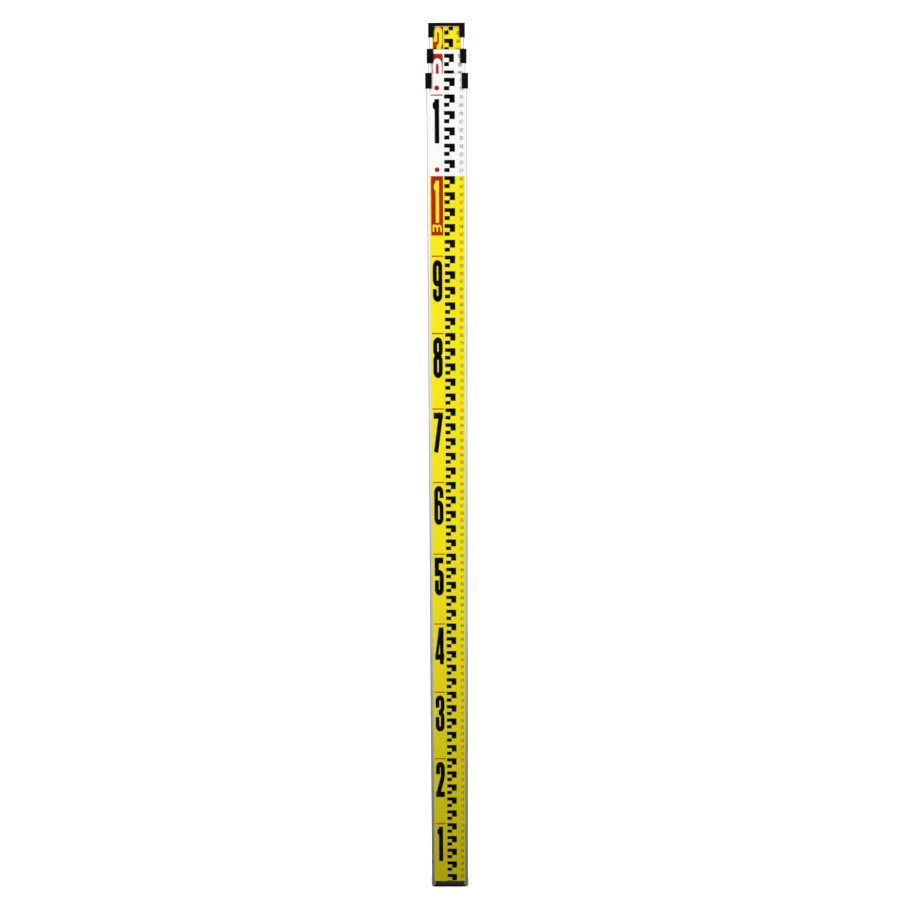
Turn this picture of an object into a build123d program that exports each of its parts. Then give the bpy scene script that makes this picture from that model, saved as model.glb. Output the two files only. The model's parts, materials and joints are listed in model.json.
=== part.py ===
from build123d import *
from dataclasses import dataclass
from math import radians, sin
import os

# A telescopic leveling staff of three rectangular aluminium tubes, closed, standing on its foot.
# Millimetres. X runs across the graduated face, which looks along -Y, and Z runs up the staff.
# The origin is the middle of the foot's lower face, the zero of the scale.

# Lengths along the staff
stowed_height = 1186.0  # height of the cap when the staff is closed
cap_step = 32.0  # cap's top above the middle tube's top, closed
collar_step = 29.0  # middle tube's top above the outer tube's top, closed
middle_overlap = 246.7  # length of the middle tube that stays in the outer one when drawn out
top_overlap = 138.7  # length of the top tube that stays in the middle one when drawn out

# Tubes
outer_width = 52.0
outer_depth = 30.0
side_wall = 1.3
front_wall = 1.2
rear_wall = 1.2
rim_width = 3.7  # bare rims along the edges of the front and rear faces
front_rim_height = 0.6  # how far the rims stand above the front face
rear_rim_height = 0.4
tube_corner = 2.5
bore_corner = 1.2
side_gap = 0.7  # between one tube and the next
front_gap = 0.7
rear_gap = 1.9  # wider, so that the keepers pass

# Scale films
film_thickness = 0.2
film_edge_gap = 0.2
film_end_gap = 0.3
film_overlap = 25.0  # length of inner film that stays hidden when the section is drawn out

# Collars and cap
outer_collar_height = 19.0
middle_collar_height = 17.5
cap_height = 17.5
collar_rise = 1.0  # collars stand this far above the ends of their tubes
collar_wall = 0.9
collar_corner = 3.2
wing_thickness = 1.0
wing_width = 8.2  # part of the front that each side of a collar covers
cap_wing_width = 7.2
cap_bar_height = 4.0  # bar across the front of the cap
cap_top_thickness = 3.5
edge_round = 0.5
ledge_height = 4.0  # inner ledge of a collar, which guides the next tube
ledge_setback = 1.0  # ledge starts this far behind the tube's front wall
guide_gap = 0.35
corner_relief = 0.2  # difference of corner radius that keeps seated corners apart

# Latch levers
tier_clearance = 1.0  # between a latch housing and the collar below it, closed
latch_floor = 1.2  # collar's rear wall
pivot_drop = 14.0  # hinge pin below the collar's top
pivot_height = 4.3  # hinge pin behind the housing's floor
pin_radius = 1.25
pin_running_gap = 0.1
cheek_thickness = 2.2
cheek_rise = 2.6  # cheeks reach this far behind the hinge pin
cheek_round = 5.0
bar_round = 2.0
lever_width = 10.0
lever_thickness = 3.0
lever_side_gap = 0.4
lever_end_gap = 0.7
press_angle = 13.0  # how far the lever rocks when its thumb pad is pressed, in degrees
boss_radius = 2.6
tooth_width = 8.0
tooth_height = 2.5
tooth_drop = 7.0  # top of the tooth below the hinge pin
tooth_gap = 0.35  # from the tooth's tip to the film that it rides over
tooth_chamfer = 1.2
window_gap = 0.5
rib_radius = 0.6
rib_count = 4
rib_pitch = 1.7
spring_width = 6.0
spring_thickness = 0.35
spring_bend = 0.4
spring_tip_gap = 0.05

# Keepers
keeper_width = 18.0
keeper_wall_gap = 0.4  # to the tube that the keeper slides in
stop_gap = 0.3  # play at each end stop
ramp_width = 10.0
ramp_length = 5.0
ramp_depth = 1.6

# Plugs, foot and buffer
slide_flange_height = 8.0
slide_plug_height = 17.7
slide_gap = 0.3
plug_wall = 3.0
plug_floor = 3.0
foot_plate_thickness = 3.0
foot_edge_chamfer = 0.5
foot_plug_height = 13.0
foot_lip_height = 5.7  # dark band that shows between the front rims
foot_lip_margin = 2.0  # bare tube between the band and each rim
buffer_thickness = 3.0
buffer_width = 30.0
buffer_depth = 14.0
buffer_corner = 3.0

# Fasteners
press_gap = 0.03  # round a pin or rivet in its hole
rivet_radius = 1.5
rivet_head_radius = 3.0
rivet_head_height = 1.0
rivet_head_round = 0.7
rivet_tail_radius = 2.4
rivet_tail_height = 0.7
rivet_edge_distance = 11.0  # rivet from the tube's side
foot_rivet_rise = 8.0  # above the plug's lower end
foot_rivet_length = 7.0
keeper_rivet_radius = 1.2
keeper_rivet_spread = 14.0
plug_pin_radius = 1.5
screw_radius = 1.5
screw_head_radius = 3.0
screw_head_height = 1.6
screw_length = 9.0
screw_sink = 0.2  # screw heads below the foot's lower face
screw_spread = 26.0
screw_slot_width = 0.8
screw_slot_depth = 0.7

overcut = 1.0  # how far a cutting shape runs past what it cuts


@dataclass
class Section:
    """One tube: its width, the planes of its front and rear rims, and the heights of its ends.

    The collar, or on the top tube the cap, goes round its upper end.
    """

    width: float
    front: float
    rear: float
    low: float
    high: float
    collar_low: float
    collar_high: float

    @property
    def face(self):
        """The recessed front face."""
        return self.front + front_rim_height

    @property
    def back(self):
        """The recessed rear face."""
        return self.rear - rear_rim_height

    @property
    def bore_front(self):
        return self.face + front_wall

    @property
    def bore_rear(self):
        return self.back - rear_wall

    @property
    def bore_width(self):
        return self.width - 2 * side_wall

    @property
    def bore_middle(self):
        """Halfway between the front and the rear of the bore."""
        return (self.bore_front + self.bore_rear) / 2

    @property
    def face_width(self):
        """Width of the recess between the rims."""
        return self.width - 2 * rim_width

    @property
    def ledge_front(self):
        """Where the collar's ledge starts and the tube's side walls end lower."""
        return self.bore_front + ledge_setback

    @property
    def ledge_bottom(self):
        return self.high - ledge_height

    @property
    def rivet_x(self):
        return self.width / 2 - rivet_edge_distance

    @property
    def rivet_height(self):
        """Halfway up the stretch of tube that the collar covers."""
        return (self.collar_low + self.high) / 2


def inner_section(around, **heights):
    """The tube that slides in the tube around it."""
    return Section(
        width=around.bore_width - 2 * side_gap,
        front=around.bore_front + front_gap,
        rear=around.bore_rear - rear_gap,
        **heights,
    )


def block(x, y, z):
    """A box given by a low and a high value along each axis."""
    spans = (x, y, z)
    middle = [(low + high) / 2 for low, high in spans]
    size = [high - low for low, high in spans]
    return Pos(*middle) * Box(*size)


def centred(width):
    """The low and high value of a width centred on zero."""
    return (-width / 2, width / 2)


def outline(width, front, rear, radius):
    """A rounded rectangle in plan, between a front and a rear plane."""
    return Pos(0, (front + rear) / 2) * RectangleRounded(width, rear - front, radius)


def prism(plan, low, high):
    """A plan shape raised from one height to another."""
    return extrude(Pos(0, 0, low) * plan, amount=high - low)


def rod_along_x(radius, x, y, z):
    """A round bar along X, from a low to a high x."""
    return Pos((x[0] + x[1]) / 2, y, z) * Rot(0, 90, 0) * Cylinder(radius, x[1] - x[0])


def rod_along_y(radius, x, y, z):
    """A round bar along Y, from a low to a high y."""
    return Pos(x, (y[0] + y[1]) / 2, z) * Rot(90, 0, 0) * Cylinder(radius, y[1] - y[0])


def pair(make, x):
    """The same piece made at -x and at +x, as a group of two solids."""
    return Compound(children=[make(-x), make(x)])


# Heights of the stack inside the closed staff
foot_plug_top = foot_plate_thickness + foot_plug_height
buffer_top = foot_plug_top + buffer_thickness
middle_flange_low = buffer_top + stop_gap
middle_bottom = middle_flange_low + slide_flange_height
top_flange_low = middle_bottom + slide_plug_height + stop_gap
top_bottom = top_flange_low + slide_flange_height
middle_top = stowed_height - cap_step
outer_top = middle_top - collar_step
foot_rivet_height = foot_plate_thickness + foot_rivet_rise

# Travel of the two sliding sections, which brings the cap to about 3 m when both are drawn out
middle_travel = outer_top - middle_bottom - middle_overlap
top_travel = middle_top - top_bottom - top_overlap

outer = Section(
    width=outer_width,
    front=-outer_depth / 2,
    rear=outer_depth / 2,
    low=foot_plate_thickness,
    high=outer_top,
    collar_low=outer_top + collar_rise - outer_collar_height,
    collar_high=outer_top + collar_rise,
)
middle = inner_section(
    outer,
    low=middle_bottom,
    high=middle_top,
    collar_low=middle_top + collar_rise - middle_collar_height,
    collar_high=middle_top + collar_rise,
)
top = inner_section(
    middle,
    low=top_bottom,
    high=stowed_height - cap_top_thickness,
    collar_low=stowed_height - cap_height,
    collar_high=stowed_height,
)

latch_housing_height = collar_step - collar_rise - tier_clearance
cheek_outside = lever_width + 2 * lever_side_gap + 2 * cheek_thickness
foot_lip_width = outer.face_width - 2 * foot_lip_margin


def pivot_of(section):
    """The y and z of the hinge pin on a section's collar."""
    return section.rear + latch_floor + pivot_height, section.high - pivot_drop


def housing_low(section):
    return section.high - latch_housing_height


def tooth_top(section):
    """Upper face of the latch tooth, on which the keeper rests when drawn out."""
    return section.high - pivot_drop - tooth_drop


def tooth_tip(inner):
    """How far in the latch tooth reaches: just clear of the film on the tube that slides past it."""
    return inner.back + film_thickness + tooth_gap


def keeper_span(around, travel):
    """Lower and upper end of a keeper in the closed staff."""
    low = tooth_top(around) + stop_gap - travel
    high = around.ledge_bottom - stop_gap - travel
    return low, high


# Tubes
def plain_tube(section):
    """A rectangular tube with a shallow recess between rims on its front and its rear."""
    profile = outline(section.width, section.front, section.rear, tube_corner)
    profile -= outline(section.bore_width, section.bore_front, section.bore_rear, bore_corner)
    tube = prism(profile, section.low, section.high)
    ends = (section.low - overcut, section.high + overcut)
    recess = centred(section.face_width)
    tube -= block(recess, (section.front - overcut, section.face), ends)
    tube -= block(recess, (section.back, section.rear + overcut), ends)
    return tube


def latch_window(section, inner):
    """Opening for the latch tooth through the collar's rear wall and the tube's rear wall."""
    tooth_high = tooth_top(section)
    tooth_low = tooth_high - tooth_height
    tooth_reach = pivot_of(section)[0] - tooth_tip(inner)
    tooth_swing = tooth_reach * sin(radians(press_angle))
    return block(
        centred(tooth_width + 2 * window_gap),
        (section.bore_rear - overcut, section.rear + latch_floor + overcut),
        (tooth_low - tooth_swing - window_gap, tooth_high + window_gap),
    )


def rear_rivet_holes(section, height):
    """Two holes through the rear wall and what covers it."""
    depth = (section.bore_rear - overcut, section.rear + latch_floor + overcut)
    radius = rivet_radius + press_gap
    return [rod_along_y(radius, x, depth, height) for x in (-section.rivet_x, section.rivet_x)]


def collared_tube(section, inner):
    """A tube whose sides and rear stop short of its front, for the collar ledge, with a latch window."""
    tube = plain_tube(section)
    tube -= block(
        centred(section.width + 2 * overcut),
        (section.ledge_front, section.rear + overcut),
        (section.ledge_bottom, section.high + overcut),
    )
    tube -= latch_window(section, inner)
    tube -= rear_rivet_holes(section, section.rivet_height)
    return tube


def plug_pin_height(section):
    return section.low + slide_plug_height / 2


def sliding_tube(tube, section, around, travel):
    """An inner tube, with holes for the pins of its slide plug and the rivets of its keeper."""
    across = centred(section.width + 2 * overcut)
    tube -= rod_along_x(plug_pin_radius + press_gap, across, section.bore_middle, plug_pin_height(section))
    tube -= keeper_rivet_holes(section, around, travel)
    return tube


def outer_tube():
    tube = collared_tube(outer, middle)
    tube -= block(
        centred(foot_lip_width),
        (outer.front - overcut, outer.bore_front),
        (outer.low - overcut, outer.low + foot_lip_height),
    )
    tube -= rear_rivet_holes(outer, foot_rivet_height)
    return tube


def middle_tube():
    return sliding_tube(collared_tube(middle, top), middle, outer, middle_travel)


def top_tube():
    tube = plain_tube(top)
    tube -= rear_rivet_holes(top, top.rivet_height)
    return sliding_tube(tube, top, middle, top_travel)


# Scale films
def front_film(section, low, high):
    return block(
        centred(section.face_width - 2 * film_edge_gap),
        (section.face - film_thickness, section.face),
        (low + film_end_gap, high - film_end_gap),
    )


def rear_film(section, low, high):
    return block(
        centred(section.face_width - 2 * film_edge_gap),
        (section.back, section.back + film_thickness),
        (low + film_end_gap, high - film_end_gap),
    )


# Collars and cap
def sleeve(section):
    """A rounded block round a tube's end, before anything is cut from it."""
    plan = outline(
        section.width + 2 * collar_wall,
        section.front - wing_thickness,
        section.rear + latch_floor,
        collar_corner,
    )
    body = prism(plan, section.collar_low, section.collar_high)
    levels = body.edges().group_by(Axis.Z)
    return fillet(levels[0] + levels[-1], edge_round)


def seat(section, low, high):
    """The space that a tube's end takes up in its collar or cap."""
    plan = outline(section.width, section.front, section.rear, tube_corner - corner_relief)
    return prism(plan, low, high)


def front_opening(section, wing, low, high):
    """The gap between the two wings, through which the scale shows."""
    return block(
        centred(section.width + 2 * collar_wall - 2 * wing),
        (section.front - wing_thickness - overcut, section.front),
        (low, high),
    )


def latch_housing(section):
    """Two cheeks behind a collar that carry the hinge pin, the floor between them and a bar above."""
    floor_y = section.rear + latch_floor
    cheek_y = floor_y + pivot_height + cheek_rise
    low = housing_low(section)
    body = block(centred(cheek_outside), (section.rear, cheek_y), (low, section.collar_high))
    rear_edges = body.faces().sort_by(Axis.Y)[-1].edges().filter_by(Axis.X).sort_by(Axis.Z)
    body = fillet(rear_edges[0], cheek_round)
    body = fillet(body.edges().filter_by(Axis.X).sort_by(Axis.Z)[-2:].sort_by(Axis.Y)[-1], bar_round)
    body -= block(
        centred(lever_width + 2 * lever_side_gap),
        (floor_y, cheek_y + overcut),
        (low - overcut, section.ledge_bottom),
    )
    return body


def collar(section, inner):
    """A moulded collar: wings in front, thin sides, a ledge round the next tube and the latch housing."""
    low, high = section.collar_low - overcut, section.collar_high + overcut
    pivot_y, pivot_z = pivot_of(section)
    body = sleeve(section)
    body += latch_housing(section)
    body -= seat(section, low, section.ledge_bottom)
    tube_front = block(
        centred(section.width),
        (section.front, section.ledge_front),
        (section.ledge_bottom, section.high),
    )
    body -= tube_front & seat(section, section.ledge_bottom, section.high)
    passage = outline(
        inner.width + 2 * guide_gap,
        section.front,
        inner.rear + guide_gap,
        tube_corner,
    )
    body -= prism(passage, section.ledge_bottom, high)
    body -= front_opening(section, wing_width, low, high)
    body -= latch_window(section, inner)
    body -= rod_along_x(pin_radius + press_gap, centred(cheek_outside + 2 * overcut), pivot_y, pivot_z)
    body -= rear_rivet_holes(section, section.rivet_height)
    return body


def top_cap():
    """A closed cap: wings and a bar in front, thin sides and a solid top."""
    low = top.collar_low - overcut
    body = sleeve(top)
    body -= seat(top, low, top.high)
    body -= front_opening(top, cap_wing_width, low, top.collar_high - cap_bar_height)
    body -= rear_rivet_holes(top, top.rivet_height)
    return body


# Latch
def latch_lever(section, inner):
    """A rocker: thumb pad with ribs above the hinge pin, tooth that points inward below it."""
    pivot_y, pivot_z = pivot_of(section)
    pad_y = pivot_y + lever_thickness / 2
    tooth_high = tooth_top(section)
    tooth_low = tooth_high - tooth_height
    arm_high = section.ledge_bottom - lever_end_gap
    across = centred(lever_width)
    lever = block(across, (pivot_y - lever_thickness / 2, pad_y), (tooth_low, arm_high))
    lever += rod_along_x(boss_radius, across, pivot_y, pivot_z)
    tooth = block(centred(tooth_width), (tooth_tip(inner), pivot_y), (tooth_low, tooth_high))
    lower_tip = tooth.edges().filter_by(Axis.X).sort_by(Axis.Y)[:2].sort_by(Axis.Z)[0]
    lever += chamfer(lower_tip, tooth_chamfer)
    for number in range(rib_count):
        rib_z = arm_high - rib_radius - number * rib_pitch
        lever += rod_along_x(rib_radius, across, pad_y, rib_z)
    lever -= rod_along_x(pin_radius + pin_running_gap, centred(lever_width + 2 * overcut), pivot_y, pivot_z)
    return lever


def latch_pin(section):
    pivot_y, pivot_z = pivot_of(section)
    return rod_along_x(pin_radius, centred(cheek_outside), pivot_y, pivot_z)


def latch_spring(section):
    """A flat strip bent to a V between the housing's floor and the thumb pad."""
    pivot_y, pivot_z = pivot_of(section)
    half = spring_thickness / 2
    floor_y = section.rear + latch_floor + half
    pad_y = pivot_y - lever_thickness / 2 - half - spring_tip_gap
    bend_z = pivot_z + boss_radius + spring_thickness
    tip_z = section.ledge_bottom - lever_end_gap - spring_thickness
    path = FilletPolyline((0, floor_y, tip_z), (0, floor_y, bend_z), (0, pad_y, tip_z), radius=spring_bend)
    start = Plane(origin=path @ 0, x_dir=(1, 0, 0), z_dir=path % 0)
    return sweep(start * Rectangle(spring_width, spring_thickness), path)


# Keepers
def keeper_rivet_places(around, travel):
    low, high = keeper_span(around, travel)
    return (-keeper_rivet_spread / 2, keeper_rivet_spread / 2), (low + high) / 2


def keeper_outer_y(around):
    return around.bore_rear - keeper_wall_gap


def keeper_rivet_holes(section, around, travel):
    places, height = keeper_rivet_places(around, travel)
    depth = (section.bore_rear - overcut, keeper_outer_y(around) + overcut)
    return [rod_along_y(keeper_rivet_radius + press_gap, x, depth, height) for x in places]


def keeper(section, around, travel):
    """A block on a tube's rear face. Its middle is ramped to lift the tooth, its sides stop at the ledge."""
    low, high = keeper_span(around, travel)
    outer_y = keeper_outer_y(around)
    body = block(centred(keeper_width), (section.back, outer_y), (low, high))
    ramp = Polyline(
        (0, outer_y + overcut, high - ramp_length),
        (0, outer_y, high - ramp_length),
        (0, outer_y - ramp_depth, high),
        (0, outer_y - ramp_depth, high + overcut),
        (0, outer_y + overcut, high + overcut),
        close=True,
    )
    body -= extrude(make_face(ramp), amount=ramp_width / 2, dir=(1, 0, 0), both=True)
    body -= keeper_rivet_holes(section, around, travel)
    return body


def keeper_rivets(section, around, travel):
    places, height = keeper_rivet_places(around, travel)
    depth = (section.bore_rear, keeper_outer_y(around))
    return pair(lambda x: rod_along_y(keeper_rivet_radius, x, depth, height), places[1])


# Plugs, foot and buffer
def cored(body, section, low, high):
    """A plug with its middle left out, open at the top."""
    return body - block(
        centred(section.bore_width - 2 * plug_wall),
        (section.bore_front + plug_wall, section.bore_rear - plug_wall),
        (low, high + overcut),
    )


def core(section, low, high):
    """A plug that fills a tube's bore."""
    plan = outline(section.bore_width, section.bore_front, section.bore_rear, bore_corner + corner_relief)
    return prism(plan, low, high)


def slide_plug(section, around, flange_low):
    """Lower plug of an inner tube, with a flange that runs in the tube around it."""
    plan = outline(
        around.bore_width - 2 * slide_gap,
        around.bore_front + slide_gap,
        around.bore_rear - slide_gap,
        bore_corner,
    )
    plug_top = section.low + slide_plug_height
    body = prism(plan, flange_low, section.low) + core(section, section.low, plug_top)
    body = cored(body, section, flange_low + plug_floor, plug_top)
    across = centred(section.width)
    body -= rod_along_x(plug_pin_radius + press_gap, across, section.bore_middle, plug_pin_height(section))
    return body


def plug_pins(section):
    """Two pins, flush with the tube's sides and with the inside of its plug."""
    height = plug_pin_height(section)
    outside = section.width / 2
    inside = outside - side_wall - plug_wall
    right = rod_along_x(plug_pin_radius, (inside, outside), section.bore_middle, height)
    return Compound(children=[right, mirror(right, about=Plane.YZ)])


def foot_plug():
    """Plug in the lower end of the outer tube, with a lip that shows between the front rims."""
    body = core(outer, outer.low, foot_plug_top)
    body += block(
        centred(foot_lip_width),
        (outer.face - film_thickness, outer.bore_front + overcut),
        (outer.low, outer.low + foot_lip_height),
    )
    depth = (outer.back - foot_rivet_length, outer.back + overcut)
    for x in (-outer.rivet_x, outer.rivet_x):
        body -= rod_along_y(rivet_radius + press_gap, x, depth, foot_rivet_height)
    for x in centred(screw_spread):
        body -= Pos(x, 0, 0) * screw_shape(press_gap)
    return body


def screw_shape(gap):
    """A countersunk screw that points up from the foot's lower face."""
    tip = screw_sink + screw_length
    head = Pos(0, 0, screw_sink + screw_head_height / 2) * Cone(
        screw_head_radius + gap, screw_radius + gap, screw_head_height
    )
    shank = Pos(0, 0, (screw_sink + tip) / 2) * Cylinder(screw_radius + gap, screw_length)
    return head + shank


def foot_plate():
    """Wear plate under the tube, with its lower edge broken and two countersunk holes."""
    body = prism(outline(outer.width, outer.front, outer.rear, tube_corner), 0, foot_plate_thickness)
    body = chamfer(body.edges().group_by(Axis.Z)[0], foot_edge_chamfer)
    for x in centred(screw_spread):
        body -= Pos(x, 0, 0) * screw_shape(press_gap)
        body -= Pos(x, 0, screw_sink / 2) * Cylinder(screw_head_radius + press_gap, screw_sink)
    return body


def foot_plate_screws():
    slot = block(
        centred(2 * screw_head_radius + overcut),
        centred(screw_slot_width),
        (screw_sink - overcut, screw_sink + screw_slot_depth),
    )
    screw = screw_shape(0) - slot
    return pair(lambda x: Pos(x, 0, 0) * screw, screw_spread / 2)


def stow_buffer():
    plan = Pos(0, outer.bore_middle) * RectangleRounded(buffer_width, buffer_depth, buffer_corner)
    return prism(plan, foot_plug_top, buffer_top)


# Rivets
def rivet_head(x, seat_y, height):
    """A low round head that sits on a rear face."""
    head = rod_along_y(rivet_head_radius, x, (seat_y, seat_y + rivet_head_height), height)
    return fillet(head.edges().sort_by(Axis.Y)[-1], rivet_head_round)


def end_rivets(section):
    """Two rivets through the rear of a collar or cap, with their tails inside the tube."""
    height = section.rivet_height
    head_seat = section.rear + latch_floor
    tail_end = section.bore_rear - rivet_tail_height

    def rivet(x):
        body = rivet_head(x, head_seat, height)
        body += rod_along_y(rivet_radius, x, (section.bore_rear, head_seat), height)
        body += rod_along_y(rivet_tail_radius, x, (tail_end, section.bore_rear), height)
        return body

    return pair(rivet, section.rivet_x)


def foot_rivets():
    def rivet(x):
        shank = (outer.back - foot_rivet_length, outer.back)
        return rivet_head(x, outer.back, foot_rivet_height) + rod_along_y(
            rivet_radius, x, shank, foot_rivet_height
        )

    return pair(rivet, outer.rivet_x)


middle_keeper_top = keeper_span(outer, middle_travel)[1]
top_keeper_top = keeper_span(middle, top_travel)[1]
middle_film_low = outer.high - middle_travel - film_overlap
top_film_low = middle.high - top_travel - film_overlap

pieces = {
    "outer_tube": outer_tube(),
    "outer_front_scale": front_film(outer, outer.low + foot_lip_height, outer.high),
    "outer_rear_scale": rear_film(outer, foot_plug_top + rivet_head_radius, housing_low(outer)),
    "outer_collar": collar(outer, middle),
    "outer_collar_rivets": end_rivets(outer),
    "outer_latch_lever": latch_lever(outer, middle),
    "outer_latch_pin": latch_pin(outer),
    "outer_latch_spring": latch_spring(outer),
    "foot_plug": foot_plug(),
    "foot_rivets": foot_rivets(),
    "foot_plate": foot_plate(),
    "foot_plate_screws": foot_plate_screws(),
    "stow_buffer": stow_buffer(),
    "middle_tube": middle_tube(),
    "middle_front_scale": front_film(middle, middle_film_low, middle.high),
    "middle_rear_scale": rear_film(middle, middle_keeper_top, housing_low(middle)),
    "middle_collar": collar(middle, top),
    "middle_collar_rivets": end_rivets(middle),
    "middle_latch_lever": latch_lever(middle, top),
    "middle_latch_pin": latch_pin(middle),
    "middle_latch_spring": latch_spring(middle),
    "middle_slide_plug": slide_plug(middle, outer, middle_flange_low),
    "middle_plug_pins": plug_pins(middle),
    "middle_keeper": keeper(middle, outer, middle_travel),
    "middle_keeper_rivets": keeper_rivets(middle, outer, middle_travel),
    "top_tube": top_tube(),
    "top_front_scale": front_film(top, top_film_low, top.collar_high - cap_bar_height),
    "top_rear_scale": rear_film(top, top_keeper_top, top.collar_low),
    "top_cap": top_cap(),
    "top_cap_rivets": end_rivets(top),
    "top_slide_plug": slide_plug(top, middle, top_flange_low),
    "top_plug_pins": plug_pins(top),
    "top_keeper": keeper(top, middle, top_travel),
    "top_keeper_rivets": keeper_rivets(top, middle, top_travel),
}

os.makedirs("parts", exist_ok=True)
for name, piece in pieces.items():
    export_step(piece, f"parts/{name}.step")
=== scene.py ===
import json
import math
from dataclasses import dataclass, replace
from functools import cache

import bmesh
import bpy
from mathutils import Matrix, Vector
from mathutils.geometry import delaunay_2d_cdt


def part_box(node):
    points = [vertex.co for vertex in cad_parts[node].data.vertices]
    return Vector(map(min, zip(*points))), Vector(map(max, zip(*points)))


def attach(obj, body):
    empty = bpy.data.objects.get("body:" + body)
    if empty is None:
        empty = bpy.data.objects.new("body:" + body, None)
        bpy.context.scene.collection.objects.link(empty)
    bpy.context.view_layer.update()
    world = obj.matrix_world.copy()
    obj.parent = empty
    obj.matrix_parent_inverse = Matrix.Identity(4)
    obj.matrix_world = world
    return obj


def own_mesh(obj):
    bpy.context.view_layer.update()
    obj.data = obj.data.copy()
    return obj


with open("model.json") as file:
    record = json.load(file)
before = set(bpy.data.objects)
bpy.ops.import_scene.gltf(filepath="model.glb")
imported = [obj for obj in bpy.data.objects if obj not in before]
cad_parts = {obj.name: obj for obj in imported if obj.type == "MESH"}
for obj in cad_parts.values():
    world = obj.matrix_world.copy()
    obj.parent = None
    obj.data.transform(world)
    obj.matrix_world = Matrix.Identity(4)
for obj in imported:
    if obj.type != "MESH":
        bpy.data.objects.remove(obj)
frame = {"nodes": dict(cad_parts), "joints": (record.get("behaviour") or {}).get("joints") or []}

# A telescopic leveling staff, closed and standing on its foot, in metres.
# Z runs up the staff and the graduated face looks along -Y. Print is laid out in millimetres.
MM = 0.001
FRONT, REAR = -1, 1  # along Y
LEFT, RIGHT = -1, 1  # along X
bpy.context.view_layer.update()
nodes = frame["nodes"]


@dataclass(frozen=True)
class Lettering:
    """Size of one kind of figure, and the steps in its rounded corners."""

    width: float
    height: float
    stroke: float
    steps: int
    gap: float = 0.0  # between the figures of a number


# Front scale, with places across measured from the middle of the outer section's face
CENTIMETRE = 10.0
DECIMETRE = 100.0
METRE = 1000.0
BLOCK_PERIOD = 2 * CENTIMETRE
BLOCK_HEIGHT = CENTIMETRE / 2
BLOCK_LEFT = -3.5
BLOCK_MIDDLE = 3.2
BLOCK_RIGHT = 10.0
PANEL_LEFT = -20.5
PANEL_RIGHT = -5.2
PANEL_HEIGHT = 74.6
PANEL_MARGIN = 0.9  # least red beside a numeral
LINE_THICKNESS = 1.5
NUMERAL = Lettering(width=12.4, height=54.0, stroke=5.3, steps=8)
BOLD_NUMERAL = replace(NUMERAL, stroke=5.8)
BOLD_VALUES = (1, 2, 4, 5, 7)
NUMERAL_DROP = 5.6  # top of a numeral below its line
METRE_NUMERAL = Lettering(width=11.8, height=52.6, stroke=4.2, steps=8)
UNIT = Lettering(width=11.6, height=9.0, stroke=1.85, steps=8)  # letter m under a metre numeral
UNIT_RISE = 4.8  # above the panel's lower edge
TALL = 1.45  # how much thicker the level strokes of the tall figures are than the upright ones
DOT_RADIUS = 3.1
DOT_SIDES = 24
DOT_X = -12.5
DOT_RISE = 7.9  # above a decimetre line
DOT_SPREAD = 6.4  # between the dots of one line
SMALL_FIGURE = Lettering(width=1.9, height=4.5, stroke=0.43, steps=2, gap=0.5)
SMALL_RIGHT = 20.3
SMALL_DROP = 0.9  # top of a small figure below its centimetre line

# Rear scale
TICK_MARGIN = 1.2  # from the film's edge to the ticks
TICK_LENGTHS = {10: 12.0, 5: 9.0, 1: 6.0}  # by the millimetres that a tick counts
TICK_THICKNESS = 0.3
REAR_NUMERAL = Lettering(width=3.0, height=5.0, stroke=0.75, steps=3, gap=0.8)
REAR_NUMERAL_X = 17.0  # from the film's edge to the numerals

# Ink
INK_LIFT = 0.04  # top of the ink above the film
INK_ROOT = 0.01  # how far the ink's body reaches into the film
END_MARGIN = 0.2  # bare film at the ends of a scale
CORNER_SHARE = 0.97  # of the run beside a rounded corner, so that a stroke ends straight
SAME_POINT = 1e-6  # points nearer than this are one


# Where the print goes
@dataclass
class Section:
    """One tube of the staff. A reading is the height in the closed staff plus the section's offset."""

    name: str
    body: str
    offset: float


class Face:
    """The film on one side of a section. Print on it has an x, to the reader's right, and a reading."""

    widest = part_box("outer_front_scale")[1].x / MM

    def __init__(self, section, node, side):
        low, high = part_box(node)
        self.section = section
        self.side = side
        self.surface = low.y if side == FRONT else high.y
        self.half_width = high.x / MM
        self.first = (low.z + section.offset) / MM + END_MARGIN
        self.last = (high.z + section.offset) / MM - END_MARGIN

    def point(self, x, reading, lift):
        across = -self.side * x * MM
        out = self.surface + self.side * lift * MM
        return Vector((across, out, reading * MM - self.section.offset))

    def across(self, *places):
        """Places on the widest front film, drawn in to suit this one."""
        return [x * self.half_width / self.widest for x in places]

    def holds(self, low, high):
        return low >= self.first and high <= self.last


travel = {joint["name"]: joint["range_m"][1] for joint in frame["joints"] if joint["type"] == "slide"}
middle_offset = travel["middle_slide"]
top_offset = middle_offset + travel["top_slide"]
sections = [
    Section("outer", "outer_section", 0.0),
    Section("middle", "middle_section", middle_offset),
    Section("top", "top_section", top_offset),
]


# Outlines
def rectangle(left, right, low, high):
    return [(left, low), (right, low), (right, high), (left, high)]


def disc(x, z, radius):
    angles = [2 * math.pi * i / DOT_SIDES for i in range(DOT_SIDES)]
    return [(x + radius * math.cos(a), z + radius * math.sin(a)) for a in angles]


def moved(outlines, x, z):
    return [[(point[0] + x, point[1] + z) for point in outline] for outline in outlines]


def stretched(outlines, factor):
    return [[(point[0], point[1] * factor) for point in outline] for outline in outlines]


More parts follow.
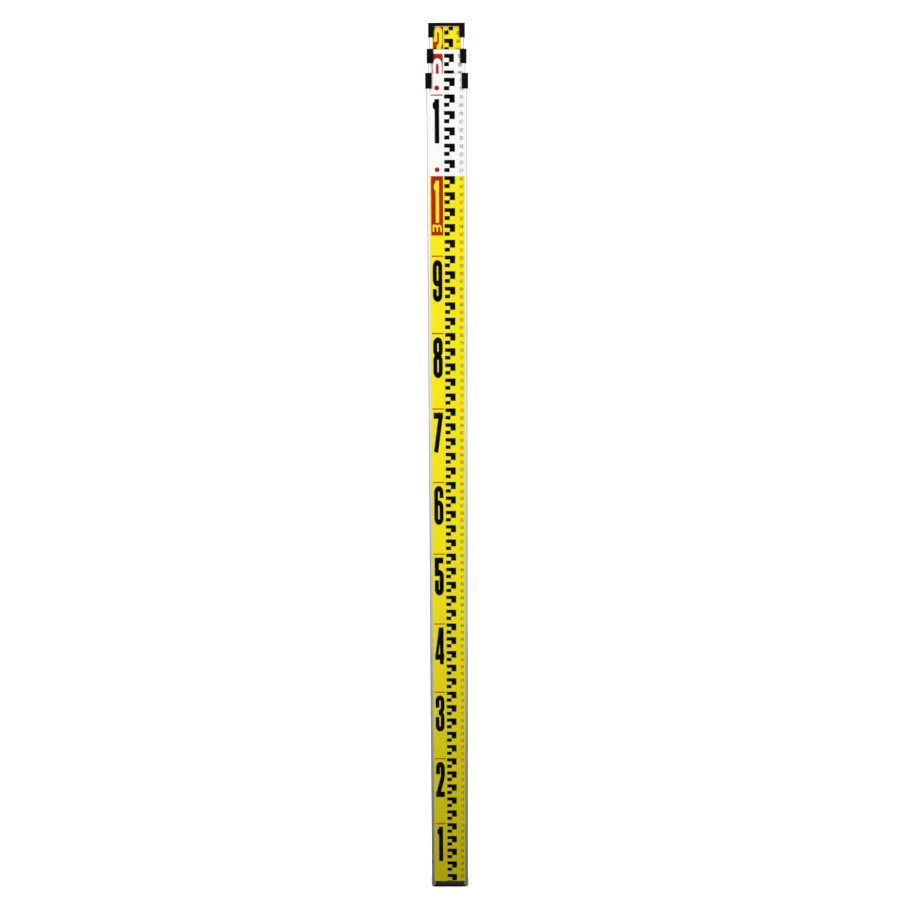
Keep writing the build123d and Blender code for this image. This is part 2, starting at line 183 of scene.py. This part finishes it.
def corner_arc(before, corner, after, radius, steps):
    """Points of the arc that rounds one corner of a path."""
    back = (before - corner).normalized()
    ahead = (after - corner).normalized()
    half_angle = back.angle(ahead) / 2
    reach = radius / math.tan(half_angle)
    centre = corner + (back + ahead).normalized() * radius / math.sin(half_angle)
    start = corner + back * reach - centre
    turn = -start.angle_signed(corner + ahead * reach - centre)
    points = []
    for i in range(steps + 1):
        cosine = math.cos(turn * i / steps)
        sine = math.sin(turn * i / steps)
        x = start.x * cosine - start.y * sine
        z = start.x * sine + start.y * cosine
        points.append(centre + Vector((x, z)))
    return points


def rounded(points, steps):
    """A path of level and upright runs, with each corner as round as the runs beside it allow."""
    corners = [Vector(point) for point in points]
    runs = [(b - a).length for a, b in zip(corners, corners[1:])]
    room = [CORNER_SHARE * run for run in (runs[0], *(run / 2 for run in runs[1:-1]), runs[-1])]
    path = [corners[0]]
    for i in range(1, len(corners) - 1):
        radius = min(room[i - 1], room[i])
        path += corner_arc(corners[i - 1], corners[i], corners[i + 1], radius, steps)
    path.append(corners[-1])
    return [point for i, point in enumerate(path) if i == 0 or (point - path[i - 1]).length > SAME_POINT]


def stroke(path, line):
    """Outline of a line of even width along a path."""
    path = [Vector(point) for point in path]
    left, right = [], []
    for i, point in enumerate(path):
        before = path[max(i - 1, 0)]
        after = path[min(i + 1, len(path) - 1)]
        along = (after - before).normalized()
        sideways = Vector((-along.y, along.x)) * line / 2
        if 0 < i < len(path) - 1:
            sideways /= math.cos((point - before).angle(after - point) / 2)
        left.append(point + sideways)
        right.append(point - sideways)
    return [tuple(point) for point in right + left[::-1]]


# Condensed round figures, each a list of outlines whose union is the figure
class Guide:
    """The lines that a figure's strokes follow, counted from the figure's lower left corner."""

    def __init__(self, lettering):
        self.width = lettering.width
        self.height = lettering.height
        self.line = lettering.stroke
        self.steps = lettering.steps
        self.half = self.line / 2
        self.left = self.half
        self.middle = self.width / 2
        self.right = self.width - self.half
        self.low = self.half
        self.high = self.height - self.half

    def level(self, share):
        return self.height * share

    def bend(self, *points):
        """A stroke with rounded corners."""
        return stroke(rounded(points, self.steps), self.line)

    def bar(self, left, right, level):
        """A level stroke."""
        return rectangle(left, right, level - self.half, level + self.half)


def zero(guide):
    left, middle, right = guide.left, guide.middle, guide.right
    low, high = guide.low, guide.high
    return [
        guide.bend((middle, high), (left, high), (left, low), (middle, low)),
        guide.bend((middle, low), (right, low), (right, high), (middle, high)),
    ]


def one(guide):
    """A stem with a blunt flag."""
    half, height = guide.half, guide.height
    stem = guide.width * 0.53
    flag = stem - half - guide.width * 0.19
    return [
        rectangle(stem - half, stem + half, 0, height),
        [
            (stem + half, height),
            (stem - half * 0.4, height),
            (flag, guide.level(0.90)),
            (flag, guide.level(0.81)),
            (stem, guide.level(0.69)),
        ],
    ]


def two(guide):
    left, right = guide.left, guide.right
    low, high = guide.low, guide.high
    return [
        guide.bend((left, guide.level(0.65)), (left, high), (right, high), (right, guide.level(0.60))),
        stroke([(right, guide.level(0.605)), (right, guide.level(0.58)), (left, low)], guide.line),
        rectangle(0, guide.width, 0, guide.line),
    ]


def three(guide):
    left, right = guide.left, guide.right
    low, high = guide.low, guide.high
    waist = guide.level(0.53)
    arm = guide.width * 0.34
    return [
        guide.bend((left, guide.level(0.66)), (left, high), (right, high), (right, waist), (arm, waist)),
        guide.bend((arm, waist), (right, waist), (right, low), (left, low), (left, guide.level(0.405))),
    ]


def four(guide):
    width, height = guide.width, guide.height
    stem = width * 0.73
    stem_half = guide.half * 0.9
    crossing = guide.level(0.20)
    return [
        [(width * 0.42, height), (stem, height), (width * 0.34, crossing), (0, crossing)],
        guide.bar(0, width, crossing),
        rectangle(stem - stem_half, stem + stem_half, 0, height),
    ]


def five(guide):
    left, middle, right = guide.left, guide.middle, guide.right
    low, height = guide.low, guide.height
    shoulder = guide.level(0.60)
    tail = guide.level(0.405)
    return [
        rectangle(0, guide.width * 0.95, height - guide.line, height),
        rectangle(0, guide.line, guide.level(0.51), height),
        guide.bar(left, middle, shoulder),
        guide.bend((middle, shoulder), (right, shoulder), (right, low), (left, low), (left, tail)),
    ]


def six(guide):
    left, middle, right = guide.left, guide.middle, guide.right
    low, high = guide.low, guide.high
    shoulder = guide.level(0.56)
    return [
        guide.bend((right, guide.level(0.69)), (right, high), (left, high), (left, low), (middle, low)),
        guide.bend((middle, low), (right, low), (right, shoulder), (middle, shoulder)),
        guide.bar(left, middle, shoulder),
    ]


def seven(guide):
    right, height = guide.right, guide.height
    stem = [(right, height), (right - guide.half * 0.2, guide.level(0.86)), (guide.left, 0)]
    return [
        rectangle(0, guide.width, height - guide.line, height),
        stroke(stem, guide.line),
    ]


def eight(guide):
    """Two rings that run into each other at the waist."""
    left, middle, right = guide.left, guide.middle, guide.right
    low, high = guide.low, guide.high
    upper = guide.level(0.55) + guide.half * 0.35
    lower = guide.level(0.55) - guide.half * 0.35
    return [
        guide.bend((middle, high), (left, high), (left, upper), (middle, upper)),
        guide.bend((middle, upper), (right, upper), (right, high), (middle, high)),
        guide.bend((middle, lower), (left, lower), (left, low), (middle, low)),
        guide.bend((middle, low), (right, low), (right, lower), (middle, lower)),
    ]


def nine(guide):
    """A six turned upside down."""
    return [[(guide.width - x, guide.height - z) for x, z in outline] for outline in six(guide)]


DIGITS = (zero, one, two, three, four, five, six, seven, eight, nine)


def numeral(value, lettering):
    return DIGITS[value](Guide(lettering))


def letter_m(lettering):
    """A small letter m, the sign for metres."""
    guide = Guide(lettering)
    left, middle, right = guide.left, guide.middle, guide.right
    high = guide.high
    joint = guide.height / 2
    return [
        rectangle(0, guide.line, 0, guide.height),
        guide.bend((left, joint), (left, high), (middle, high), (middle, 0)),
        guide.bend((middle, joint), (middle, high), (right, high), (right, 0)),
    ]


# Outlines cut into triangles
def encloses(outline, point):
    """Whether an outline goes round a point."""
    inside = False
    for (x, z), (next_x, next_z) in zip(outline, [*outline[1:], outline[0]]):
        if (z > point.y) != (next_z > point.y):
            crossing = x + (next_x - x) * (point.y - z) / (next_z - z)
            inside ^= point.x < crossing
    return inside


def cut_up(outlines, left_out=()):
    """Points and triangles of the union of some outlines, without what the left out ones cover."""
    corners, loops = [], []
    for outline in [*outlines, *left_out]:
        loops.append(list(range(len(corners), len(corners) + len(outline))))
        corners += [Vector(point) for point in outline]
    points, _, triangles, _, _, _ = delaunay_2d_cdt(corners, [], loops, 0, SAME_POINT)
    kept = []
    for triangle in triangles:
        middle = sum((points[i] for i in triangle), Vector((0, 0))) / len(triangle)
        printed = any(encloses(outline, middle) for outline in outlines)
        if printed and not any(encloses(outline, middle) for outline in left_out):
            kept.append(triangle)
    return points, kept


@cache
def cut_numeral(value, lettering):
    return cut_up(numeral(value, lettering))


# Printing
def add_object(name, data):
    made = bpy.data.objects.new(name, data)
    bpy.context.scene.collection.objects.link(made)
    return made


class Ink:
    """All the print of one colour on one face: thin closed shapes gathered into one piece."""

    def __init__(self, face, name, material):
        self.face = face
        self.name = name
        self.material = material
        self.shapes = bmesh.new()

    def stamp(self, outlines, left_out=()):
        """Prints the union of some outlines, without what the left out ones cover."""
        self.raise_shape(*cut_up(outlines, left_out))

    def raise_shape(self, points, faces):
        """Adds a closed shape, one ink layer thick, over flat faces."""
        used = sorted({i for face in faces for i in face})
        layers = []
        for lift in (-INK_ROOT, INK_LIFT):
            layers.append({i: self.shapes.verts.new(self.face.point(*points[i], lift)) for i in used})
        root, top = layers
        sides = set()
        for face in faces:
            self.shapes.faces.new([top[i] for i in face])
            self.shapes.faces.new([root[i] for i in reversed(face)])
            sides.update(zip(face, [*face[1:], face[0]]))
        for a, b in sides:
            if (b, a) not in sides:
                self.shapes.faces.new([root[a], root[b], top[b], top[a]])

    def block(self, left, right, low, high):
        """Prints a rectangle, cut off at the ends of the film."""
        low, high = max(low, self.face.first), min(high, self.face.last)
        if low < high:
            self.stamp([rectangle(left, right, low, high)])

    def number(self, text, left, low, lettering):
        for place, value in enumerate(text):
            points, triangles = cut_numeral(int(value), lettering)
            corner = Vector((left + place * (lettering.width + lettering.gap), low))
            self.raise_shape([point + corner for point in points], triangles)

    def finish(self):
        """Turns the gathered shapes into a piece that rides with its section."""
        mesh = bpy.data.meshes.new(self.name)
        bmesh.ops.recalc_face_normals(self.shapes, faces=self.shapes.faces)
        self.shapes.to_mesh(mesh)
        self.shapes.free()
        mesh.materials.append(self.material)
        piece = add_object(self.name, mesh)
        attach(piece, self.face.section.body)
        return piece


def steps_between(first, last, pitch):
    """Multiples of a pitch from just under the first value to just over the last."""
    return [pitch * i for i in range(math.floor(first / pitch), math.ceil(last / pitch) + 1)]


def print_blocks(face, black):
    """Black blocks of 5 mm in two columns, in groups that hang from every second centimetre."""
    left, middle, right = face.across(BLOCK_LEFT, BLOCK_MIDDLE, BLOCK_RIGHT)
    for line in steps_between(face.first, face.last + BLOCK_PERIOD, BLOCK_PERIOD):
        first, second, third = (line - BLOCK_HEIGHT * n for n in (1, 2, 3))
        black.block(left, middle, first, line)
        black.block(middle, right, second, line)
        black.block(left, middle, third, second)


def print_decimetres(face, black, red):
    """A line and a numeral at each decimetre, a panel at each metre, and dots that count the metres."""
    for line in steps_between(face.first, face.last + DECIMETRE, DECIMETRE):
        metres, decimetres = divmod(round(line / DECIMETRE), 10)
        if decimetres == 0:
            print_panel(face, red, line, metres)
        else:
            print_decimetre(face, black, red, line, decimetres)
        print_dots(face, red, line)


def tall_numeral(face, value, top, lettering):
    """Outlines of a numeral that hangs from a reading, in the column of the panels."""
    left, right = face.across(PANEL_LEFT, PANEL_RIGHT)
    width = min(lettering.width, right - left - 2 * PANEL_MARGIN)
    squat = replace(lettering, width=width, height=lettering.height / TALL)
    outlines = stretched(numeral(value, squat), TALL)
    return moved(outlines, (left + right - width) / 2, top - lettering.height)


def print_decimetre(face, black, red, line, value):
    """A red line, and a black numeral where the film has room for it."""
    left, right = face.across(PANEL_LEFT, PANEL_RIGHT)
    red.block(left, right, line - LINE_THICKNESS, line)
    top = line - NUMERAL_DROP
    if face.holds(top - NUMERAL.height, top):
        black.stamp(tall_numeral(face, value, top, BOLD_NUMERAL if value in BOLD_VALUES else NUMERAL))


def print_panel(face, red, line, value):
    """A red panel below a metre line, with the numeral and the letter m left out of the red."""
    left, right, unit_width = face.across(PANEL_LEFT, PANEL_RIGHT, UNIT.width)
    low, top = line - PANEL_HEIGHT, line - NUMERAL_DROP
    if face.holds(low, top):
        digit = tall_numeral(face, value, top, METRE_NUMERAL)
        unit = stretched(letter_m(replace(UNIT, width=unit_width, height=UNIT.height / TALL)), TALL)
        unit = moved(unit, (left + right - unit_width) / 2, low + UNIT_RISE)
        red.stamp([rectangle(left, right, low, min(line, face.last))], left_out=[*digit, *unit])


def print_dots(face, red, line):
    """One red dot for each whole metre below, just above a decimetre line."""
    height = line + DOT_RISE
    metres = int(height // METRE)
    if metres < 1 or not face.holds(height - DOT_RADIUS, height + DOT_RADIUS):
        return
    for n in range(metres):
        (x,) = face.across(DOT_X + (n - (metres - 1) / 2) * DOT_SPREAD)
        red.stamp([disc(x, height, DOT_RADIUS)])


def print_small_numbers(face, black):
    """Two small figures under every centimetre line."""
    (right,) = face.across(SMALL_RIGHT)
    left = right - 2 * SMALL_FIGURE.width - SMALL_FIGURE.gap
    for line in steps_between(face.first, face.last, CENTIMETRE):
        count = round(line / CENTIMETRE)
        low = line - SMALL_DROP - SMALL_FIGURE.height
        if face.holds(low, low + SMALL_FIGURE.height):
            black.number(f"{count % 100:02d}", left, low, SMALL_FIGURE)


def print_ticks(face, black):
    """Millimetre ticks along the left edge of a rear scale, longer at 5 and 10 mm."""
    left = TICK_MARGIN - face.half_width
    for line in range(math.ceil(face.first), math.floor(face.last) + 1):
        length = next(length for step, length in TICK_LENGTHS.items() if line % step == 0)
        black.block(left, left + length, line - TICK_THICKNESS / 2, line + TICK_THICKNESS / 2)


def print_rear_numbers(face, black, red):
    """Centimetres beside the ticks, with each decimetre in red."""
    left = REAR_NUMERAL_X - face.half_width
    for line in steps_between(face.first, face.last, CENTIMETRE):
        low = line - REAR_NUMERAL.height / 2
        if line > 0 and face.holds(low, low + REAR_NUMERAL.height):
            count = round(line / CENTIMETRE)
            ink = red if count % 10 == 0 else black
            ink.number(str(count), left, low, REAR_NUMERAL)


# Materials
class NodeTree:
    """A tree of shader nodes being put together."""

    def __init__(self, tree):
        self.tree = tree

    def node(self, kind, **settings):
        made = self.tree.nodes.new("ShaderNode" + kind)
        for name, value in settings.items():
            setattr(made, name, value)
        return made

    def feed(self, socket, value):
        """Sets a socket to a number or a colour, or links the output of another node to it."""
        if isinstance(value, bpy.types.NodeSocket):
            self.tree.links.new(value, socket)
        elif isinstance(value, tuple):
            socket.default_value = (*value, 1.0)
        else:
            socket.default_value = value

    def along(self, axis, space="Object"):
        """One coordinate of a place on the object or, in the space Generated, of a world's direction."""
        split = self.node("SeparateXYZ")
        self.feed(split.inputs["Vector"], self.node("TexCoord").outputs[space])
        return split.outputs[axis]

    def spread(self, value, to=(0.0, 1.0), over=(0.3, 0.7)):
        """Goes from one number to another while a value, such as a noise, goes over a range."""
        made = self.node("MapRange")
        for name, number in zip(("From Min", "From Max", "To Min", "To Max"), (*over, *to)):
            self.feed(made.inputs[name], number)
        self.feed(made.inputs["Value"], value)
        return made.outputs["Result"]

    def math(self, operation, *values):
        made = self.node("Math", operation=operation)
        for socket, value in zip(made.inputs, values):
            self.feed(socket, value)
        return made.outputs["Value"]

    def mix(self, factor, first, second, kind="RGBA"):
        """Something between two colours or, of the kind FLOAT, between two numbers."""
        made = self.node("Mix", data_type=kind)
        sockets = [socket for socket in made.inputs if socket.enabled]
        for socket, value in zip(sockets, (factor, first, second)):
            self.feed(socket, value)
        return next(output for output in made.outputs if output.enabled)


class Finish(NodeTree):
    """A material on one Principled shader."""

    def __init__(self, name, **values):
        self.material = bpy.data.materials.new(name)
        self.material.use_nodes = True
        super().__init__(self.material.node_tree)
        self.shader = self.tree.nodes["Principled BSDF"]
        for socket, value in values.items():
            self.feed(self.shader.inputs[socket.replace("_", " ")], value)

    def noise(self, *grain_mm, detail=3.0):
        """Soft noise with a grain of one size, or of three sizes along X, Y and Z."""
        sizes = grain_mm if len(grain_mm) == 3 else 3 * grain_mm
        mapping = self.node("Mapping")
        mapping.inputs["Scale"].default_value = [1 / (size * MM) for size in sizes]
        self.feed(mapping.inputs["Vector"], self.node("TexCoord").outputs["Object"])
        texture = self.node("TexNoise")
        self.feed(texture.inputs["Vector"], mapping.outputs["Vector"])
        self.feed(texture.inputs["Scale"], 1.0)
        self.feed(texture.inputs["Detail"], detail)
        return texture.outputs["Fac"]

    def worn_edges(self, radius_mm):
        """One along sharp edges, in patches, and zero on flat faces."""
        bevel = self.node("Bevel", samples=4)
        self.feed(bevel.inputs["Radius"], radius_mm * MM)
        compare = self.node("VectorMath", operation="DOT_PRODUCT")
        self.feed(compare.inputs[0], bevel.outputs["Normal"])
        self.feed(compare.inputs[1], self.node("NewGeometry").outputs["Normal"])
        edge = self.spread(compare.outputs["Value"], to=(1.0, 0.0), over=(0.80, 0.98))
        patches = self.spread(self.noise(1.5), over=(0.45, 0.65))
        return self.math("MULTIPLY", edge, patches)

    def colour(self, value):
        self.feed(self.shader.inputs["Base Color"], value)

    def roughness(self, noise, low, high):
        self.feed(self.shader.inputs["Roughness"], self.spread(noise, to=(low, high)))

    def bump(self, height, depth_mm):
        made = self.node("Bump")
        self.feed(made.inputs["Strength"], 1.0)
        self.feed(made.inputs["Distance"], depth_mm * MM)
        self.feed(made.inputs["Height"], height)
        self.feed(self.shader.inputs["Normal"], made.outputs["Normal"])


def shaded(colour, factor):
    return tuple(channel * factor for channel in colour)


def anodised_aluminium():
    """Drawn tube: fine lines along the staff, a satin skin and a few longer rub marks."""
    dull = (0.74, 0.735, 0.71)
    clean = (0.82, 0.815, 0.79)
    rubbed = (0.88, 0.875, 0.86)
    finish = Finish("anodised_aluminium", Metallic=1.0)
    lines = finish.noise(0.35, 0.35, 180.0, detail=2.0)
    skin = finish.mix(finish.spread(finish.noise(30.0, 30.0, 120.0)), dull, clean)
    rubs = finish.spread(finish.noise(1.2, 1.2, 60.0, detail=4.0), to=(0.0, 0.5), over=(0.6, 0.75))
    finish.colour(finish.mix(rubs, skin, rubbed))
    finish.roughness(lines, 0.20, 0.32)
    finish.bump(lines, depth_mm=0.006)
    return finish.material


def scale_film(name, change, below, above):
    """Printed film, matt, slightly pebbled and soiled in places, whose colour changes at a height."""
    soil = (0.42, 0.35, 0.08)
    finish = Finish(name, Specular_IOR_Level=0.06)
    ground = finish.mix(finish.math("GREATER_THAN", finish.along("Z"), change), below, above)
    cloud = finish.noise(9.0, 9.0, 40.0, detail=5.0)
    handled = finish.spread(cloud, to=(0.0, 0.10), over=(0.5, 0.8))
    finish.colour(finish.mix(handled, ground, soil))
    finish.roughness(cloud, 0.42, 0.56)
    finish.bump(finish.noise(0.5, detail=2.0), depth_mm=0.006)
    return finish.material


def printing_ink(name, full, thin):
    """Screen-printed ink, a little thinner in places."""
    finish = Finish(name, Specular_IOR_Level=0.015)
    density = finish.noise(2.0, detail=5.0)
    finish.colour(finish.mix(finish.spread(density, over=(0.35, 0.75)), full, thin))
    finish.roughness(density, 0.40, 0.55)
    finish.bump(finish.noise(0.3), depth_mm=0.004)
    return finish.material


ROUGHNESS_SWING = 0.07  # either way, over the grain of plastic and bare metal
CLOUDED = 1.5  # brightness of cloudy patches on plastic
TARNISHED = 0.75  # brightness of tarnished patches on bare metal


def moulding(name, body, worn, grain_mm, rough, shine=0.03):
    """Moulded plastic with a fine spark-eroded grain, polished grey along its edges."""
    finish = Finish(name, Specular_IOR_Level=shine)
    skin = finish.mix(finish.spread(finish.noise(6.0)), body, shaded(body, CLOUDED))
    finish.colour(finish.mix(finish.worn_edges(radius_mm=0.5), skin, worn))
    grain = finish.noise(grain_mm, detail=2.0)
    finish.roughness(grain, rough - ROUGHNESS_SWING, rough + ROUGHNESS_SWING)
    finish.bump(grain, depth_mm=0.02)
    return finish.material


def bare_metal(name, body, bright, grain_mm, rough):
    """Turned or pressed metal with a directional grain, tarnished in patches and bright at its edges."""
    finish = Finish(name, Metallic=1.0)
    skin = finish.mix(finish.spread(finish.noise(4.0)), body, shaded(body, TARNISHED))
    finish.colour(finish.mix(finish.worn_edges(radius_mm=0.25), skin, bright))
    grain = finish.noise(*grain_mm)
    finish.roughness(grain, rough - ROUGHNESS_SWING, rough + ROUGHNESS_SWING)
    finish.bump(grain, depth_mm=0.006)
    return finish.material


def blackened_steel():
    """Black oxide on steel, rubbed to bare metal at its ends and worn along its edges."""
    black = (0.003, 0.003, 0.0025)
    thin_black = (0.010, 0.009, 0.008)
    bare = (0.52, 0.51, 0.49)
    worn = (0.08, 0.076, 0.07)
    bare_from, bare_to = 22.0 * MM, 23.0 * MM  # from the middle of the staff
    ragged = 1.0 * MM
    finish = Finish("blackened_steel", Metallic=0.6, Specular_IOR_Level=0.1)
    cloud = finish.noise(3.0, 3.0, 1.0, detail=5.0)
    skin = finish.mix(finish.spread(cloud), black, thin_black)
    distance = finish.math("ABSOLUTE", finish.along("X"))
    limit = finish.math("ADD", distance, finish.spread(cloud, to=(-ragged, ragged)))
    rubbed = finish.mix(finish.spread(limit, over=(bare_from, bare_to)), skin, bare)
    finish.colour(finish.mix(finish.worn_edges(radius_mm=0.4), rubbed, worn))
    finish.roughness(cloud, 0.45, 0.65)
    finish.bump(finish.noise(0.6), depth_mm=0.012)
    return finish.material


black_ink = printing_ink("black_ink", full=(0.0015, 0.0015, 0.0012), thin=(0.004, 0.0037, 0.003))
red_ink = printing_ink("red_ink", full=(0.425, 0.016, 0.003), thin=(0.485, 0.025, 0.005))
aluminium = anodised_aluminium()
foot_steel = blackened_steel()
black_moulding = moulding(
    "black_moulding", body=(0.003, 0.003, 0.003), worn=(0.05, 0.05, 0.048), grain_mm=0.25, rough=0.50
)
lever_moulding = moulding(
    "lever_moulding", body=(0.012, 0.012, 0.013), worn=(0.08, 0.08, 0.08), grain_mm=0.20, rough=0.38,
    shine=0.25
)
plug_moulding = moulding(
    "plug_moulding", body=(0.044, 0.039, 0.026), worn=(0.09, 0.08, 0.065), grain_mm=0.30, rough=0.55
)
buffer_rubber = moulding(
    "buffer_rubber", body=(0.012, 0.012, 0.012), worn=(0.03, 0.03, 0.03), grain_mm=0.40, rough=0.80
)
rivet_aluminium = bare_metal(
    "rivet_aluminium", body=(0.72, 0.72, 0.71), bright=(0.86, 0.86, 0.85), grain_mm=(0.5, 0.5, 0.5),
    rough=0.35
)
plain_steel = bare_metal(
    "plain_steel", body=(0.54, 0.53, 0.51), bright=(0.74, 0.73, 0.71), grain_mm=(0.2, 2.0, 2.0),
    rough=0.31
)
spring_steel = bare_metal(
    "spring_steel", body=(0.46, 0.46, 0.47), bright=(0.70, 0.70, 0.70), grain_mm=(0.15, 1.5, 3.0),
    rough=0.27
)

# Finishes of the frame's solids, by the ending of their names
FINISHES = {
    "_tube": aluminium,
    "_collar": black_moulding,
    "top_cap": black_moulding,
    "_latch_lever": lever_moulding,
    "_latch_pin": plain_steel,
    "_latch_spring": spring_steel,
    "_plug": plug_moulding,
    "_plug_pins": plain_steel,
    "_keeper": plain_steel,
    "_keeper_rivets": plain_steel,
    "_collar_rivets": rivet_aluminium,
    "_cap_rivets": rivet_aluminium,
    "foot_rivets": rivet_aluminium,
    "foot_plate": foot_steel,
    "foot_plate_screws": plain_steel,
    "stow_buffer": buffer_rubber,
}


def dress(node, material):
    """Gives a solid of the frame its finish."""
    slots = nodes[node].data.materials
    slots.clear()
    slots.append(material)


for ending, material in FINISHES.items():
    for node in nodes:
        if node.endswith(ending):
            dress(node, material)

# Each latch spring gets a mesh of its own
for name in ("outer", "middle"):
    spring = f"{name}_latch_spring"
    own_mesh(nodes[spring])

# Scales of the three sections
YELLOW = (0.93, 0.815, 0.008)
WHITE = (0.94, 0.94, 0.93)
PALE = (0.80, 0.80, 0.76)

# Slot of a front film, metre line at which its colour changes, and the colours below and above it
FRONT_FILMS = {
    "outer": ("yellow_scale_film", 1 * METRE, YELLOW, WHITE),
    "middle": ("white_scale_film", 2 * METRE, WHITE, WHITE),
    "top": ("yellow_scale_film", 2 * METRE, WHITE, YELLOW),
}


def front_scale(section):
    node = f"{section.name}_front_scale"
    slot, line, below, above = FRONT_FILMS[section.name]
    change = line * MM - section.offset
    dress(node, scale_film(f"{section.name}_front_film", change, below, above))
    face = Face(section, node, FRONT)
    black = Ink(face, f"{section.name}_front_black_print", black_ink)
    red = Ink(face, f"{section.name}_front_red_print", red_ink)
    print_blocks(face, black)
    print_decimetres(face, black, red)
    print_small_numbers(face, black)
    for layer in (black, red):
        layer.finish()


def rear_scale(section):
    node = f"{section.name}_rear_scale"
    dress(node, scale_film(f"{section.name}_rear_film", 0.0, PALE, PALE))
    face = Face(section, node, REAR)
    black = Ink(face, f"{section.name}_rear_black_print", black_ink)
    red = Ink(face, f"{section.name}_rear_red_print", red_ink)
    print_ticks(face, black)
    print_rear_numbers(face, black, red)
    for layer in (black, red):
        layer.finish()


for section in sections:
    front_scale(section)
    rear_scale(section)


# Floor
FLOOR_REACH = 40.0


def floor():
    """A wide pale floor. It shows to the camera but throws no light back on the staff."""
    reach = FLOOR_REACH
    mesh = bpy.data.meshes.new("floor")
    mesh.from_pydata([(-reach, -reach, 0), (reach, -reach, 0), (reach, reach, 0), (-reach, reach, 0)],
                     [], [(0, 1, 2, 3)])
    finish = Finish("floor_paint", Specular_IOR_Level=0.0, Roughness=1.0)
    finish.colour(finish.mix(finish.noise(400.0), (0.90, 0.90, 0.895), (0.93, 0.93, 0.925)))
    mesh.materials.append(finish.material)
    ground = add_object("floor", mesh)
    ground.visible_diffuse = False
    ground.visible_glossy = False


floor()


# Surroundings that metal reflects: along an axis, the range of a direction and the brightness at its ends
BRIGHTNESS = (
    ("Z", (-0.47, -0.39), (0.0, 1.0)),  # dark below
    ("Z", (-0.655, 0.035), (0.0, 1.0)),  # brighter towards the horizon
    ("Z", (0.15, 0.45), (1.0, 0.6)),  # dimmer above
    ("Y", (-0.9, -0.4), (1.5, 0.65)),  # brightest round the camera
    ("Y", (0.3, 0.9), (1.0, 1.2)),  # a little brighter behind the staff
)
LEAST_BRIGHTNESS = ("Y", (-0.9, -0.3), (0.0, 0.15))
CAMERA_BRIGHTNESS = 1.2


def studio_world():
    """Surroundings for reflections only. The camera itself sees plain white."""
    world = bpy.data.worlds.new("studio")
    bpy.context.scene.world = world
    world.use_nodes = True
    world.cycles_visibility.diffuse = False
    sky = NodeTree(world.node_tree)

    def ramp(axis, over, to):
        return sky.spread(sky.along(axis, space="Generated"), to, over)

    reflected = 1.0
    for step in BRIGHTNESS:
        reflected = sky.math("MULTIPLY", reflected, ramp(*step))
    reflected = sky.math("MAXIMUM", reflected, ramp(*LEAST_BRIGHTNESS))
    to_camera = sky.node("LightPath").outputs["Is Camera Ray"]
    background = sky.tree.nodes["Background"]
    sky.feed(background.inputs["Color"], (1.0, 1.0, 1.0))
    strength = sky.mix(to_camera, reflected, CAMERA_BRIGHTNESS, kind="FLOAT")
    sky.feed(background.inputs["Strength"], strength)


studio_world()


# Lights: a broad one overhead and four upright strips round the staff
SUN_HEIGHT = 3.0
SUN_STRENGTH = 3.6
SUN_SPREAD = math.radians(70)
STRIP_REACH = 0.354  # from the staff along X and along Y
STRIP_LOW = 0.19
STRIP_HIGH = 3.3
STRIP_WIDTH = 0.12
STRIP_WATTS = {(LEFT, FRONT): 7.0, (RIGHT, FRONT): 5.4, (LEFT, REAR): 4.0, (RIGHT, REAR): 4.0}


def light(name, kind, place, target, energy, **settings):
    data = bpy.data.lights.new(name, kind)
    data.energy = energy
    for setting, value in settings.items():
        setattr(data, setting, value)
    lamp = add_object(name, data)
    lamp.location = place
    lamp.rotation_euler = (Vector(target) - Vector(place)).to_track_quat("-Z", "Y").to_euler()
    lamp.visible_camera = False
    return lamp


overhead = light("overhead", "SUN", (0, 0, SUN_HEIGHT), (0, 0, 0), SUN_STRENGTH, angle=SUN_SPREAD)
overhead.visible_glossy = False
strip_middle = (STRIP_LOW + STRIP_HIGH) / 2
for (side, depth), watts in STRIP_WATTS.items():
    place = (side * STRIP_REACH, depth * STRIP_REACH, strip_middle)
    strip = light("strip", "AREA", place, (0, 0, strip_middle), watts,
                  shape="RECTANGLE", size=STRIP_WIDTH, size_y=STRIP_HIGH - STRIP_LOW)
    strip.visible_glossy = depth == REAR  # those in front leave no glint


# Camera, where the photograph was taken from, worked out from the spacing of the scale
CAMERA_HEIGHT = 1.0567
CAMERA_DISTANCE = 1.75  # from the outer section's film
CAMERA_TILT = math.radians(13.279)
CAMERA_ROLL = math.radians(-0.222)
CAMERA_PAN = math.radians(-0.077)
FOCAL_PIXELS = 1355.8
IMAGE_PIXELS = 900

camera = add_object("camera", bpy.data.cameras.new("camera"))
camera.data.sensor_fit = "HORIZONTAL"
camera.data.lens = camera.data.sensor_width * FOCAL_PIXELS / IMAGE_PIXELS
film_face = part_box("outer_front_scale")[0].y
camera.matrix_world = (
    Matrix.Translation((0, film_face - CAMERA_DISTANCE, CAMERA_HEIGHT))
    @ Matrix.Rotation(CAMERA_PAN, 4, "Z")
    @ Matrix.Rotation(math.pi / 2 - CAMERA_TILT, 4, "X")
    @ Matrix.Rotation(CAMERA_ROLL, 4, "Z")
)
bpy.context.scene.camera = camera
bpy.context.scene.view_settings.view_transform = "Standard"
